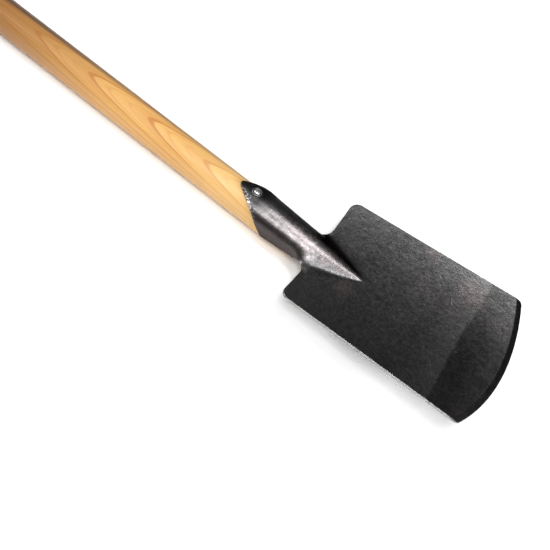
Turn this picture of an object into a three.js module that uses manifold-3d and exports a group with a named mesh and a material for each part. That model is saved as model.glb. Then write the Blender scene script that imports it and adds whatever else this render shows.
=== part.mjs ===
// Garden spade with a T-grip: one forged head, an ash shaft held by one rivet, and a wedged and
// pinned crossbar. Millimetres, +Z up. The spade lies on its back with the dished face up, its shaft
// along X and the cutting edge towards +X. All pieces are made in the tool's own axes, with the shaft's
// axis on X and the shoulders of the blade near x = 0, and one group sets them down on the floor.

import * as THREE from 'three';
import { mergeGeometries, mergeVertices } from 'three/addons/utils/BufferGeometryUtils.js';
import Module from 'manifold-3d';

// Clearance left between two pieces that touch.
const GAP = 0.3;

// Blade.
const BLADE_LENGTH = 200; // shoulder line to the corners of the cutting edge
const SHOULDER_WIDTH = 153.6;
const EDGE_WIDTH = 172;
const EDGE_BULGE = 19.4; // how far the middle of the cutting edge stands beyond its corners
const DISH_DEPTH = 12; // how far the corners of the cutting edge stand above its middle
const LIFT_ANGLE = THREE.MathUtils.degToRad(5.8); // blade against shaft
const PLATE_HEIGHT = 7.3; // front of the blade above the shaft's axis, at the shoulder line
const PLATE_THICKNESS = 2.5;
const EDGE_THICKNESS = 0.8;
const BEVEL_WIDTH = 6.5;
const SHOULDER_CORNER = 10;
const TREAD_SLOPE = 0.025; // how far each shoulder leans towards the grip, per mm outwards

// Rolled socket and the ridge that runs from it down the blade.
const SOCKET_THICKNESS = 2.2;
const SOCKET_ROOT_RADIUS = 18.6; // outside, at the shoulder line
const SOCKET_TAPER = 0.0443; // radius gained per mm towards the mouth
const MOUTH_STATION = -72; // where the socket is widest
const TONGUE_TAPER = 0.028; // radius lost per mm along the tongue, beyond the mouth
const TONGUE_LENGTH = 99.2;
const TONGUE_ROUNDING = 5;
const TONGUE_SLOPE = 1.83;
const TONGUE_EASING = 0.0128;
const FLAP_REACH = 38.2; // half the width of the rolled sheet at its widest, measured flat
const FLAP_END_REACH = 32.3; // the same at the blade end of the flaps
const FLAP_START = -50;
const NOTCH_RADIUS = 8.8;
const NOTCH_REACH = 28; // half the width of the sheet between the notches, measured flat
const SEAM = 1.2; // station where the neck meets the blade
const RIDGE_LENGTH = 57;
const RIDGE_CROWN = 12; // half-width of the round top of the ridge
const RIDGE_FOOT = 27; // half-width of the ridge with its fillets

// Shaft and rivet.
const SHAFT_RADIUS = 18.7; // at the socket's mouth
const SHAFT_GRIP_RADIUS = 17.6;
const SHAFT_NECK_RADIUS = 15.4; // where it meets the grip bar
const SHAFT_NECK_LENGTH = 48;
const SHAFT_END = -1;
const SHAFT_SCARF = 20; // how much shorter the back of the shaft is at its end
const TAPER_START = -62;
const RIVET_STATION = -81;
const RIVET_RADIUS = 3;
const RIVET_HEAD_RADIUS = 5.2;
const RIVET_HEAD_HEIGHT = 2.1;
const RIVET_TAIL_RADIUS = 5;
const RIVET_TAIL_HEIGHT = 0.8;
const WASHER_RADIUS = 7;
const WASHER_THICKNESS = 1.2;

// T-grip. The shaft's axis is as high above the floor as the grip's largest radius.
const GRIP_STATION = -855;
const GRIP_RADIUS = 19;
const GRIP_END_DROP = 2.6; // how much thinner the bar is where its ends start to round over
const GRIP_HALF_LENGTH = 62;
const GRIP_ROUNDING = 8;
const TENON_RADIUS = 12.5;
const WEDGE_LENGTH = 20;
const WEDGE_THICK_END = 3;
const WEDGE_THIN_END = 0.8;
const WEDGE_WIDTH = 22;
const PIN_OFFSET = 8; // from the bar's axis, towards the blade
const PIN_RADIUS = 2;

const STEEL = { color: 0x37383a, roughness: 0.5, metalness: 0.85 };
const RIVET_STEEL = { color: 0x6a6a6c, roughness: 0.4, metalness: 0.9 };
const ASH = { color: 0xd9a765, roughness: 0.55, metalness: 0 };
const OAK = { color: 0x8d5f34, roughness: 0.6, metalness: 0 };

const wasm = await Module();
wasm.setup();

const { smoothstep, lerp } = THREE.MathUtils;
const square = (value) => value * value;
const snap = (value) => Math.round(value * 1e3) / 1e3;

// ---------- solids

function toSolid(geometry) {
  geometry.deleteAttribute('normal');
  geometry.deleteAttribute('uv');
  const merged = mergeVertices(geometry, 1e-4);
  const vertProperties = Float32Array.from(merged.attributes.position.array);
  const triVerts = Uint32Array.from(merged.index.array);
  return new wasm.Manifold(new wasm.Mesh({ numProp: 3, vertProperties, triVerts }));
}

function toMesh(name, solid, look) {
  const cut = solid.getMesh();
  const geometry = new THREE.BufferGeometry();
  geometry.setAttribute('position', new THREE.BufferAttribute(cut.vertProperties, 3));
  geometry.setIndex(new THREE.BufferAttribute(cut.triVerts, 1));
  geometry.computeVertexNormals();
  const mesh = new THREE.Mesh(geometry, new THREE.MeshStandardMaterial(look));
  mesh.name = name;
  return mesh;
}

// A turned solid around X, from [radius, station] pairs with rising stations.
function turnedAlongX(pairs, segments) {
  const profile = pairs.map(([radius, station]) => new THREE.Vector2(radius, station));
  return toSolid(new THREE.LatheGeometry(profile, segments).rotateZ(-Math.PI / 2));
}

// A turned solid around the vertical line through a station of the shaft.
function turnedUpright(pairs, segments, station) {
  const profile = pairs.map(([radius, height]) => new THREE.Vector2(radius, height));
  const lathe = new THREE.LatheGeometry(profile, segments).rotateX(Math.PI / 2);
  return toSolid(lathe.translate(station, 0, 0));
}

function uprightPeg(radius, low, high, segments, station) {
  return turnedUpright([[0, low], [radius, low], [radius, high], [0, high]], segments, station);
}

// ---------- head: the sheet is described flat, by a station along the shaft and a reach across it

function socketRadius(station) {
  const beyond = Math.max(MOUTH_STATION - station, 0);
  return SOCKET_ROOT_RADIUS - SOCKET_TAPER * (station + beyond) - TONGUE_TAPER * beyond;
}

function tubePoint(station, reach) {
  const radius = socketRadius(station);
  const angle = reach / radius;
  return new THREE.Vector3(station, radius * Math.sin(angle), radius * Math.cos(angle));
}

// Height of the ridge over the blade at the shoulder line: a round crown with a fillet on each side.
function ridgeProfile(offset) {
  const distance = Math.abs(offset);
  if (distance >= RIDGE_FOOT) return 0;
  const round = (y) => Math.sqrt(square(SOCKET_ROOT_RADIUS) - y * y) - PLATE_HEIGHT;
  if (distance <= RIDGE_CROWN) return round(distance);
  const span = RIDGE_FOOT - RIDGE_CROWN;
  const t = (distance - RIDGE_CROWN) / span;
  const slope = -RIDGE_CROWN / Math.sqrt(square(SOCKET_ROOT_RADIUS) - square(RIDGE_CROWN));
  return round(RIDGE_CROWN) * (2 * t ** 3 - 3 * t * t + 1) + span * slope * (t ** 3 - 2 * t * t + t);
}

// The ridge shrinks to nothing at its tip, as a half cone does. Behind the shoulder line its crest
// runs on along the top of the socket.
const CREST_RISE = (SOCKET_TAPER + Math.sin(LIFT_ANGLE)) / (SOCKET_ROOT_RADIUS - PLATE_HEIGHT);

function ridgeHeight(station, offset) {
  const scale = station > 0 ? 1 - station / RIDGE_LENGTH : 1 - CREST_RISE * station;
  return scale > 0.001 ? scale * ridgeProfile(offset / scale) : 0;
}

function platePoint(station, reach, ridged) {
  const dish = square(reach) * DISH_DEPTH / square(EDGE_WIDTH / 2);
  const height = dish + (ridged ? ridgeHeight(station, reach) : 0);
  const cos = Math.cos(LIFT_ANGLE);
  const sin = Math.sin(LIFT_ANGLE);
  const x = station * cos - height * sin;
  const z = PLATE_HEIGHT + station * sin + height * cos;
  return new THREE.Vector3(x, reach, z);
}

// How much of the rolled tube is left in the sheet: all of it in the socket, none in the blade.
function tubeShare(station, reach) {
  const along = 1 - smoothstep(station, -20, 10);
  const across = smoothstep(Math.abs(reach), 26, 46) * smoothstep(station, -14, 0);
  return along * (1 - across);
}

function frontPoint(station, reach, ridged = true) {
  const share = tubeShare(station, reach);
  const plate = platePoint(station, reach, ridged);
  return share > 0 ? plate.lerp(tubePoint(station, reach), share) : plate;
}

function frontNormal(station, reach, ridged) {
  const step = 0.05;
  const along = frontPoint(station + step, reach, ridged).sub(frontPoint(station - step, reach, ridged));
  const across = frontPoint(station, reach + step, ridged).sub(frontPoint(station, reach - step, ridged));
  return along.cross(across).normalize();
}

// The sheet is as thick as its share of tube and plate; near the ridge's tip it is measured square to
// the plain blade, because the tip is sharper than the sheet is thick.
function sheetPoint(station, reach, depth) {
  const sharpness = 1 - smoothstep(1 - station / RIDGE_LENGTH, 0.1, 0.45);
  const normal = frontNormal(station, reach, true).lerp(frontNormal(station, reach, false), sharpness);
  return frontPoint(station, reach).addScaledVector(normal.normalize(), -depth);
}

function sheetThickness(station) {
  return lerp(SOCKET_THICKNESS, PLATE_THICKNESS, smoothstep(station, -40, 10));
}

// A box of rows and columns, bent into place by a function of row, column and side. It is left open
// where another sheet joins it. Corners are snapped to a fine grid, so that the two share theirs.
function bentSheet(rows, columns, place, joins) {
  const box = new THREE.BoxGeometry(1, 1, 1, rows, columns, 1);
  const position = box.attributes.position;
  const joined = [];
  const corner = new THREE.Vector3();
  for (let i = 0; i < position.count; i += 1) {
    corner.fromBufferAttribute(position, i);
    const row = Math.round((corner.x + 0.5) * rows);
    const column = Math.round((corner.y + 0.5) * columns);
    joined.push(joins(row, column));
    position.setXYZ(i, ...place(row, column, corner.z > 0).toArray().map(snap));
  }
  const kept = [];
  for (let i = 0; i < box.index.count; i += 3) {
    const triangle = [0, 1, 2].map((k) => box.index.getX(i + k));
    if (!triangle.every((vertex) => joined[vertex])) kept.push(...triangle);
  }
  box.setIndex(kept);
  return box;
}

// Stations of the outline, as functions of the reach.
function mouthStation(reach) {
  const rise = Math.hypot(reach, TONGUE_ROUNDING) - TONGUE_ROUNDING;
  return -TONGUE_LENGTH + TONGUE_SLOPE * rise - TONGUE_EASING * rise * rise;
}

const SEAM_REACH = NOTCH_REACH + NOTCH_RADIUS;

function treadStation(reach) {
  const distance = Math.abs(reach);
  const line = SEAM - TREAD_SLOPE * Math.max(distance - SEAM_REACH, 0);
  const beyond = distance - (SHOULDER_WIDTH / 2 - SHOULDER_CORNER);
  if (beyond <= 0) return line;
  return line + SHOULDER_CORNER - Math.sqrt(Math.max(square(SHOULDER_CORNER) - beyond * beyond, 0));
}

const EDGE_RADIUS = (square(EDGE_WIDTH / 2) + square(EDGE_BULGE)) / (2 * EDGE_BULGE);

function edgeStation(reach) {
  const drop = EDGE_RADIUS - Math.sqrt(square(EDGE_RADIUS) - reach * reach);
  return BLADE_LENGTH + EDGE_BULGE - drop;
}

// Socket and neck: from the mouth's edge, past the flaps and the relief notches, to the seam.
const NECK_COLUMNS = 24;
const MOUTH_ROWS = 8;
const FLAP_ROWS = 6;
const NOTCH_ROWS = 8;
const NECK_ROWS = MOUTH_ROWS + FLAP_ROWS + NOTCH_ROWS;

function neckOutline(row) {
  const notchCentre = SEAM - NOTCH_RADIUS;
  const side = SEAM_REACH - FLAP_END_REACH;
  const cornerAngle = Math.asin(side / NOTCH_RADIUS);
  if (row <= FLAP_ROWS) {
    const end = notchCentre - NOTCH_RADIUS * Math.cos(cornerAngle);
    const t = row / FLAP_ROWS;
    return { station: lerp(FLAP_START, end, t), reach: lerp(FLAP_REACH, FLAP_END_REACH, t) };
  }
  const t = (row - FLAP_ROWS) / NOTCH_ROWS;
  const angle = lerp(Math.PI - cornerAngle, 0, t);
  return {
    station: notchCentre + NOTCH_RADIUS * Math.cos(angle),
    reach: SEAM_REACH - NOTCH_RADIUS * Math.sin(angle),
  };
}

function neckPlace(row, column, front) {
  const share = (2 * column) / NECK_COLUMNS - 1;
  let station;
  let reach;
  if (row <= MOUTH_ROWS) {
    reach = share * FLAP_REACH;
    station = lerp(mouthStation(reach), FLAP_START, row / MOUTH_ROWS);
  } else {
    const outline = neckOutline(row - MOUTH_ROWS);
    reach = share * outline.reach;
    station = outline.station;
  }
  return sheetPoint(station, reach, front ? 0 : sheetThickness(station));
}

// Blade: from the shoulders to the cutting edge, with the bevel as its last row.
const OUTER_REACHES = [43, 51, 59, 66.8, 70.6, 73.7, 75.9, SHOULDER_WIDTH / 2];
const BLADE_COLUMNS = NECK_COLUMNS + 2 * OUTER_REACHES.length;
const RIDGE_ROWS = 12;
const PLAIN_ROWS = 9;
const BLADE_ROWS = RIDGE_ROWS + PLAIN_ROWS + 1;
const RIDGE_SHARE = 0.27; // share of the blade's length that the ridge's rows take

function bladeReach(column) {
  const inner = column - OUTER_REACHES.length;
  if (inner < 0) return -OUTER_REACHES[-inner - 1];
  if (inner > NECK_COLUMNS) return OUTER_REACHES[inner - NECK_COLUMNS - 1];
  return ((2 * inner) / NECK_COLUMNS - 1) * SEAM_REACH;
}

function bladeFraction(row) {
  if (row <= RIDGE_ROWS) return (row / RIDGE_ROWS) * RIDGE_SHARE;
  return lerp(RIDGE_SHARE, 1, (row - RIDGE_ROWS) / PLAIN_ROWS);
}

function bladePlace(row, column, front) {
  const start = bladeReach(column);
  const end = (start / SHOULDER_WIDTH) * EDGE_WIDTH;
  const startStation = treadStation(start);
  const bevelStation = edgeStation(end) - BEVEL_WIDTH;
  const atEdge = row === BLADE_ROWS;
  const station = atEdge
    ? edgeStation(end)
    : lerp(startStation, bevelStation, bladeFraction(row));
  const along = (station - startStation) / (edgeStation(end) - startStation);
  const thickness = sheetThickness(station);
  const frontDepth = atEdge ? thickness - EDGE_THICKNESS : 0;
  return sheetPoint(station, lerp(start, end, along), front ? frontDepth : thickness);
}

function headSolid() {
  const neckEnd = (row) => row === NECK_ROWS;
  const bladeStart = (row, column) => row === 0 && Math.abs(bladeReach(column)) <= SEAM_REACH;
  const neck = bentSheet(NECK_ROWS, NECK_COLUMNS, neckPlace, neckEnd);
  const blade = bentSheet(BLADE_ROWS, BLADE_COLUMNS, bladePlace, bladeStart);
  const rivetHole = uprightPeg(RIVET_RADIUS + GAP, 0, 3 * SHAFT_RADIUS, 24, RIVET_STATION);
  return toSolid(mergeGeometries([neck, blade])).subtract(rivetHole);
}

// ---------- grip bar and its envelope

function gripBarrel(growth) {
  const pairs = [[0, -GRIP_HALF_LENGTH - growth]];
  const straight = GRIP_HALF_LENGTH - GRIP_ROUNDING;
  const thin = GRIP_RADIUS - GRIP_END_DROP;
  const corner = [];
  for (let i = 0; i <= 4; i += 1) {
    const angle = (i / 4) * (Math.PI / 2);
    const radius = thin - GRIP_ROUNDING + GRIP_ROUNDING * Math.sin(angle);
    corner.push([radius + growth, straight + GRIP_ROUNDING * Math.cos(angle) + growth * Math.cos(angle)]);
  }
  corner.forEach(([radius, y]) => pairs.push([radius, -y]));
  for (let i = 1; i < 12; i += 1) {
    const y = lerp(-straight, straight, i / 12);
    pairs.push([GRIP_RADIUS - GRIP_END_DROP * square(y / straight) + growth, y]);
  }
  corner.reverse().forEach(([radius, y]) => pairs.push([radius, y]));
  pairs.push([0, GRIP_HALF_LENGTH + growth]);
  const profile = pairs.map(([radius, y]) => new THREE.Vector2(radius, y));
  return toSolid(new THREE.LatheGeometry(profile, 40).translate(GRIP_STATION, 0, 0));
}

function pinHole() {
  return uprightPeg(PIN_RADIUS + GAP, -2 * GRIP_RADIUS, 2 * GRIP_RADIUS, 16, GRIP_STATION + PIN_OFFSET);
}

function gripSolid() {
  const far = GRIP_STATION - 2 * GRIP_RADIUS;
  const near = GRIP_STATION + 2 * GRIP_RADIUS;
  const radius = TENON_RADIUS + GAP;
  const bore = turnedAlongX([[0, far], [radius, far], [radius, near], [0, near]], 40);
  return gripBarrel(0).subtract(bore).subtract(pinHole());
}

// ---------- shaft

// A wedge seen from above: thick at the far side of the grip bar and thin towards the blade.
function wedgeBlock(growth, width) {
  const far = GRIP_STATION - 2 * GRIP_RADIUS;
  const mouth = GRIP_STATION - GRIP_RADIUS;
  const tip = mouth + WEDGE_LENGTH;
  const slope = (WEDGE_THICK_END - WEDGE_THIN_END) / 2 / WEDGE_LENGTH;
  const half = (x) => WEDGE_THIN_END / 2 + slope * (tip - x) + growth;
  const shape = new THREE.Shape();
  shape.moveTo(far, -half(far));
  shape.lineTo(tip + growth, -half(tip));
  shape.lineTo(tip + growth, half(tip));
  shape.lineTo(far, half(far));
  shape.closePath();
  const block = new THREE.ExtrudeGeometry(shape, { depth: width, bevelEnabled: false });
  return toSolid(block.translate(0, 0, -width / 2));
}

function shaftSolid() {
  const taperEnd = SOCKET_ROOT_RADIUS - PLATE_THICKNESS - 1.5 * GAP;
  const neckStart = GRIP_STATION + 0.5 * GRIP_RADIUS;
  const neck = [];
  for (let i = 0; i <= 5; i += 1) {
    const radius = lerp(SHAFT_NECK_RADIUS, SHAFT_GRIP_RADIUS, smoothstep(i, 0, 5));
    neck.push([radius, neckStart + (i / 5) * SHAFT_NECK_LENGTH]);
  }
  const body = turnedAlongX([
    [0, neckStart],
    ...neck,
    [SHAFT_RADIUS, TAPER_START],
    [taperEnd, SHAFT_END],
    [0, SHAFT_END],
  ], 48);
  const tenonFar = GRIP_STATION - 2 * GRIP_RADIUS;
  const tenonNear = GRIP_STATION + 2 * GRIP_RADIUS;
  const tenon = turnedAlongX([
    [0, tenonFar],
    [TENON_RADIUS, tenonFar],
    [TENON_RADIUS, tenonNear],
    [0, tenonNear],
  ], 40).intersect(gripBarrel(0).add(body));
  return body
    .subtract(gripBarrel(GAP))
    .add(tenon)
    .subtract(wedgeBlock(GAP, 4 * TENON_RADIUS))
    .subtract(pinHole())
    .subtract(uprightPeg(RIVET_RADIUS + GAP, -2 * SHAFT_RADIUS, 2 * SHAFT_RADIUS, 24, RIVET_STATION))
    .subtract(uprightPeg(WASHER_RADIUS + 2 * GAP, -2 * SHAFT_RADIUS, SEAT_HEIGHT, 32, RIVET_STATION))
    .subtract(scarfCut(taperEnd));
}

// The shaft's end is sawn on a slant, so that its back stops short of the blade.
function scarfCut(radius) {
  const side = 4 * radius;
  const shape = new THREE.Shape();
  shape.moveTo(SHAFT_END, radius);
  shape.lineTo(SHAFT_END - 2 * SHAFT_SCARF, -3 * radius);
  shape.lineTo(SHAFT_END + side, -3 * radius);
  shape.lineTo(SHAFT_END + side, radius);
  shape.closePath();
  const block = new THREE.ExtrudeGeometry(shape, { depth: side, bevelEnabled: false });
  return toSolid(block.rotateX(Math.PI / 2).translate(0, side / 2, 0));
}

// ---------- rivet through the tongue and the shaft, closed over a washer let into the back

const TAIL_TIP = -GRIP_RADIUS;
const TAIL_BASE = TAIL_TIP + RIVET_TAIL_HEIGHT;
const WASHER_LOW = TAIL_BASE + GAP;
const WASHER_HIGH = WASHER_LOW + WASHER_THICKNESS;
const SEAT_HEIGHT = WASHER_HIGH + GAP;

function rivetSolid() {
  const radius = socketRadius(RIVET_STATION + RIVET_HEAD_RADIUS) + GAP;
  const rim = radius - 1;
  const top = radius + RIVET_HEAD_HEIGHT;
  const pairs = [[0, rim], [RIVET_HEAD_RADIUS, rim]];
  for (let i = 1; i < 6; i += 1) {
    const angle = (i / 6) * (Math.PI / 2);
    const height = lerp(radius, top, Math.sin(angle));
    pairs.push([RIVET_HEAD_RADIUS * Math.cos(angle), height]);
  }
  pairs.push([0, top]);
  const far = RIVET_STATION - 4 * RIVET_HEAD_RADIUS;
  const near = RIVET_STATION + 4 * RIVET_HEAD_RADIUS;
  const tongue = turnedAlongX([[0, far], [radius, far], [radius, near], [0, near]], 96);
  const head = turnedUpright(pairs, 24, RIVET_STATION).subtract(tongue);
  const shank = turnedUpright([
    [0, TAIL_TIP],
    [RIVET_TAIL_RADIUS * 0.7, TAIL_TIP],
    [RIVET_TAIL_RADIUS, TAIL_BASE],
    [RIVET_RADIUS, TAIL_BASE],
    [RIVET_RADIUS, radius + RIVET_HEAD_HEIGHT / 2],
    [0, radius + RIVET_HEAD_HEIGHT / 2],
  ], 24, RIVET_STATION);
  return head.add(shank);
}

function washerSolid() {
  const hole = RIVET_RADIUS + GAP;
  const pairs = [
    [hole, WASHER_LOW],
    [WASHER_RADIUS, WASHER_LOW],
    [WASHER_RADIUS, WASHER_HIGH],
    [hole, WASHER_HIGH],
    [hole, WASHER_LOW],
  ];
  return turnedUpright(pairs, 32, RIVET_STATION);
}

function wedgeSolid() {
  return wedgeBlock(0, WEDGE_WIDTH).intersect(gripBarrel(0));
}

function pinSolid() {
  const reach = Math.sqrt(square(GRIP_RADIUS) - square(PIN_OFFSET)) - GAP;
  return uprightPeg(PIN_RADIUS, -reach, reach, 16, GRIP_STATION + PIN_OFFSET);
}

// ---------- assembly

const tool = new THREE.Group();
tool.add(
  toMesh('blade_head', headSolid(), STEEL),
  toMesh('shaft', shaftSolid(), ASH),
  toMesh('tongue_rivet', rivetSolid(), RIVET_STEEL),
  toMesh('rivet_washer', washerSolid(), RIVET_STEEL),
  toMesh('grip_bar', gripSolid(), ASH),
  toMesh('grip_wedge', wedgeSolid(), OAK),
  toMesh('grip_pin', pinSolid(), RIVET_STEEL),
);

// The origin is on the floor, below the middle of the spade.
const extent = new THREE.Box3().setFromObject(tool);
tool.position.set(-(extent.min.x + extent.max.x) / 2, 0, -extent.min.z);

const spade = new THREE.Group();
spade.add(tool);

export default spade;
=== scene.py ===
# Garden spade, lying on its back on a pale floor: detailed meshes and procedural materials around
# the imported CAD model. Shapes are worked out in millimetres in the spade's own axes, with the
# shaft's axis on X and the shoulders of the blade near x = 0, and set down in the row frame.
import math

import bmesh
import bpy
import numpy as np
from mathutils import Euler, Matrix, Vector, noise


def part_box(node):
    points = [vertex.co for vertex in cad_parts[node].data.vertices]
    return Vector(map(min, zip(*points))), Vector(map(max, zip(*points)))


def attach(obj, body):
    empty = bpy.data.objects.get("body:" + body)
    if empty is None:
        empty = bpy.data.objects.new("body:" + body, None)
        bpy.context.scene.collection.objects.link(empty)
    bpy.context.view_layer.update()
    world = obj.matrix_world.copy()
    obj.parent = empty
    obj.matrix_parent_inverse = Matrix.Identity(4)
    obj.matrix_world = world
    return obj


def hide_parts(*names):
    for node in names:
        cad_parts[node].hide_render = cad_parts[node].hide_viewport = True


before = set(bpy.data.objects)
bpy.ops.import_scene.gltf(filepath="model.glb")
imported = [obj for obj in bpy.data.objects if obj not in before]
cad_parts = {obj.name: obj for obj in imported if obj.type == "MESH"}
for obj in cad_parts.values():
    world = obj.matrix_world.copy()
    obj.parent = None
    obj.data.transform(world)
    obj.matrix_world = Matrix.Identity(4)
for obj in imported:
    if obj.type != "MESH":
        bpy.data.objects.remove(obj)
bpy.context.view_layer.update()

MM = 0.001

# Head, in millimetres. The plain shape is the CAD model's.
BLADE_LENGTH = 200.0
SHOULDER_WIDTH = 153.6
EDGE_WIDTH = 172.0
EDGE_BULGE = 19.4
EDGE_RADIUS = ((EDGE_WIDTH / 2) ** 2 + EDGE_BULGE ** 2) / (2 * EDGE_BULGE)
EDGE_CORNER = 3.5  # rounding of the two corners of the cutting edge
DISH_DEPTH = 12.0
DISH_CURVE = DISH_DEPTH / (EDGE_WIDTH / 2) ** 2
LIFT_ANGLE = math.radians(5.8)
PLATE_HEIGHT = 7.3
PLATE_THICKNESS = 2.5
EDGE_THICKNESS = 0.8
BEVEL_WIDTH = 6.5
SHOULDER_CORNER = 10.0
TREAD_SLOPE = 0.025
SOCKET_THICKNESS = 2.2
SOCKET_ROOT_RADIUS = 18.6
SOCKET_TAPER = 0.0443
MOUTH_STATION = -72.0
TONGUE_LENGTH = 100.4
TONGUE_TAPER = 0.028
TONGUE_ROUNDING = 5.0
TONGUE_SLOPE = 1.83
TONGUE_EASING = 0.0128
FLAP_REACH = 38.2
FLAP_END_REACH = 32.3
FLAP_START = -50.0
NOTCH_RADIUS = 8.8
NOTCH_REACH = 28.0
SEAM = 1.2
SEAM_REACH = NOTCH_REACH + NOTCH_RADIUS
RIDGE_LENGTH = 57.0
RIDGE_CROWN = 12.0
RIDGE_FOOT = 27.0
RIDGE_TAPER = 0.78  # the foot draws in more slowly than the crest falls
CREST_RISE = (SOCKET_TAPER + math.sin(LIFT_ANGLE)) / (SOCKET_ROOT_RADIUS - PLATE_HEIGHT)

# Shoulders hammered up on the socket, mostly on its left side. The rise and the fall are angles
# from the crest in radians, and the other pairs are stations or reaches.
SWELL = 1.15
SWELL_AT_MOUTH = 0.5
SWELL_AT_MOUTH_SPREAD = 8
SWELL_RISE = (0.25, 0.85)
SWELL_FALL = (1.1, 1.75)
SWELL_END = (-14, 8)
SWELL_RIGHT_SHARE = 0.3
SWELL_CREST = (-4.0, 4.0)

# Where the socket's tube turns into the blade's plate, as pairs of stations or reaches.
TUBE_END = (-20, 10)
NECK_SIDE = (26, 46)
NECK_END = (-14, 0)
THICKNESS_CHANGE = (-40, 10)
RIDGE_TIP = (0.1, 0.45)  # shares of the ridge's length, from its tip

# Shaft, rivet and T-grip, in millimetres.
SHAFT_RADIUS = 18.7
SHAFT_GRIP_RADIUS = 17.6
SHAFT_NECK_RADIUS = 15.4
SHAFT_NECK_LENGTH = 48.0
SHAFT_END = -1.0
SHAFT_END_GAP = 0.45
SHAFT_END_RADIUS = SOCKET_ROOT_RADIUS - PLATE_THICKNESS - SHAFT_END_GAP
SHAFT_SCARF = 20.0
TAPER_START = -62.0
RIVET_STATION = -81.0
RIVET_RADIUS = 3.0
RIVET_HEAD_RADIUS = 5.2
RIVET_HEAD_HEIGHT = 2.1
RIVET_DOME_RADIUS = 3.1
RIVET_TAIL_RADIUS = 5.0
RIVET_TAIL_HEIGHT = 0.8
RIVET_TAIL_FULLNESS = 0.8  # 1 is an ellipse, and less is flatter
RIVET_DOME_HEIGHT = 1.0
RIVET_GROOVE_DEPTH = 0.35
RIVET_HEAD_GAP = 0.08
WASHER_RADIUS = 7.0
WASHER_THICKNESS = 1.2
WASHER_EDGE = 0.25
GRIP_STATION = -855.0
GRIP_RADIUS = 19.0
GRIP_END_DROP = 2.6
GRIP_HALF_LENGTH = 62.0
GRIP_ROUNDING = 8.0
TENON_RADIUS = 12.5
TENON_ROOT = 6.0
WEDGE_LENGTH = 20.0
WEDGE_THICK_END = 3.0
WEDGE_THIN_END = 0.8
WEDGE_WIDTH = 22.0
PIN_OFFSET = 8.0
PIN_RADIUS = 2.0

FIT = 0.12  # visible gap between pieces that touch
CLEARANCE = 0.3  # gap where more room is left
EDGE_ROUNDING = 0.45  # radius on the edges of the sheet
ROUNDING_SHARE = 0.36  # that radius at most, as a share of the sheet's thickness
CLEAR = 40.0  # how far a cutting tool runs past what it cuts
HOLE_START = 2.0  # above the shaft's axis, so that the head is only drilled at the tongue
LIMIT_RADIUS = 30.0  # of the body that keeps the tenon whole on the shaft's side of the bar
LIMIT_EXTRA = 9.0
SEAT_MARGIN = 0.4
WEDGE_INSET = 0.05

# Heights of the rivet's tail, of its washer and of the seat cut for them.
TAIL_TIP = -GRIP_RADIUS
TAIL_BASE = TAIL_TIP + RIVET_TAIL_HEIGHT
WASHER_LOW = TAIL_BASE + FIT
WASHER_HIGH = TAIL_BASE + CLEARANCE + WASHER_THICKNESS
SEAT_HEIGHT = WASHER_HIGH + CLEARANCE

# Segments around a turned body.
FINE = 96
SMOOTH = 64
MEDIUM = 48
COARSE = 32

# Edges sharper than this aren't smoothed over, in degrees.
SHARP = 50
SHARP_ON_WOOD = 40
SHARP_ON_HEAD = 60


def middle(node):
    low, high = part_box(node)
    return (low + high) / 2


# Where the spade's own axes have their origin in the row frame, in metres.
ORIGIN = Vector((middle("tongue_rivet").x - RIVET_STATION * MM, 0, middle("grip_bar").z))


# ---------- mesh helpers

def smoothstep(value, low, high):
    t = np.clip((value - low) / (high - low), 0, 1)
    return t * t * (3 - 2 * t)


def lerp(a, b, t):
    return a + (b - a) * t


def add_object(name, data):
    thing = bpy.data.objects.new(name, data)
    bpy.context.scene.collection.objects.link(thing)
    return thing


def new_object(name, points, faces, sharp_angle=SHARP):
    """A smooth-shaded mesh object from points in millimetres in the spade's own axes."""
    mesh = bpy.data.meshes.new(name)
    placed = np.asarray(points, float) * MM + np.array(ORIGIN)
    mesh.from_pydata(placed.tolist(), [], faces)
    mesh.validate()
    work = bmesh.new()
    work.from_mesh(mesh)
    bmesh.ops.recalc_face_normals(work, faces=work.faces)
    work.to_mesh(mesh)
    work.free()
    mesh.polygons.foreach_set("use_smooth", [True] * len(mesh.polygons))
    mesh.set_sharp_from_angle(angle=math.radians(sharp_angle))
    return add_object(name, mesh)


def turned(profile, segments):
    """A body turned around X from (station, radius) pairs in order. A radius of 0 closes an end."""
    angles = np.arange(segments) * 2 * math.pi / segments
    points = []
    rings = []
    for station, radius in profile:
        if radius == 0:
            rings.append([len(points)])
            points.append((station, 0, 0))
            continue
        rings.append(list(range(len(points), len(points) + segments)))
        points += [(station, radius * math.sin(a), radius * math.cos(a)) for a in angles]
    faces = []
    for near, far in zip(rings, rings[1:]):
        for i in range(segments):
            j = (i + 1) % segments
            if len(near) == 1:
                faces.append((near[0], far[i], far[j]))
            elif len(far) == 1:
                faces.append((near[i], far[0], near[j]))
            else:
                faces.append((near[i], far[i], far[j], near[j]))
    return np.array(points, float), faces


def upright(points, station):
    """Turns a body made around X into one around the vertical line at a station."""
    return np.stack([station - points[:, 2], points[:, 1], points[:, 0]], 1)


def crosswise(points, station):
    """Turns a body made around X into one around the line across the spade at a station."""
    return np.stack([station - points[:, 1], points[:, 0], points[:, 2]], 1)


def box_points(low, high):
    """The corners and faces of a box, from its lowest and highest corners."""
    (x0, y0, z0), (x1, y1, z1) = low, high
    corners = [(x, y, z) for x in (x0, x1) for y in (y0, y1) for z in (z0, z1)]
    faces = [(0, 1, 3, 2), (4, 6, 7, 5), (0, 4, 5, 1), (2, 3, 7, 6), (0, 2, 6, 4), (1, 5, 7, 3)]
    return np.array(corners, float), faces


def cylinder(radius, start, end, segments):
    return turned([(start, 0), (start, radius), (end, radius), (end, 0)], segments)


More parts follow.
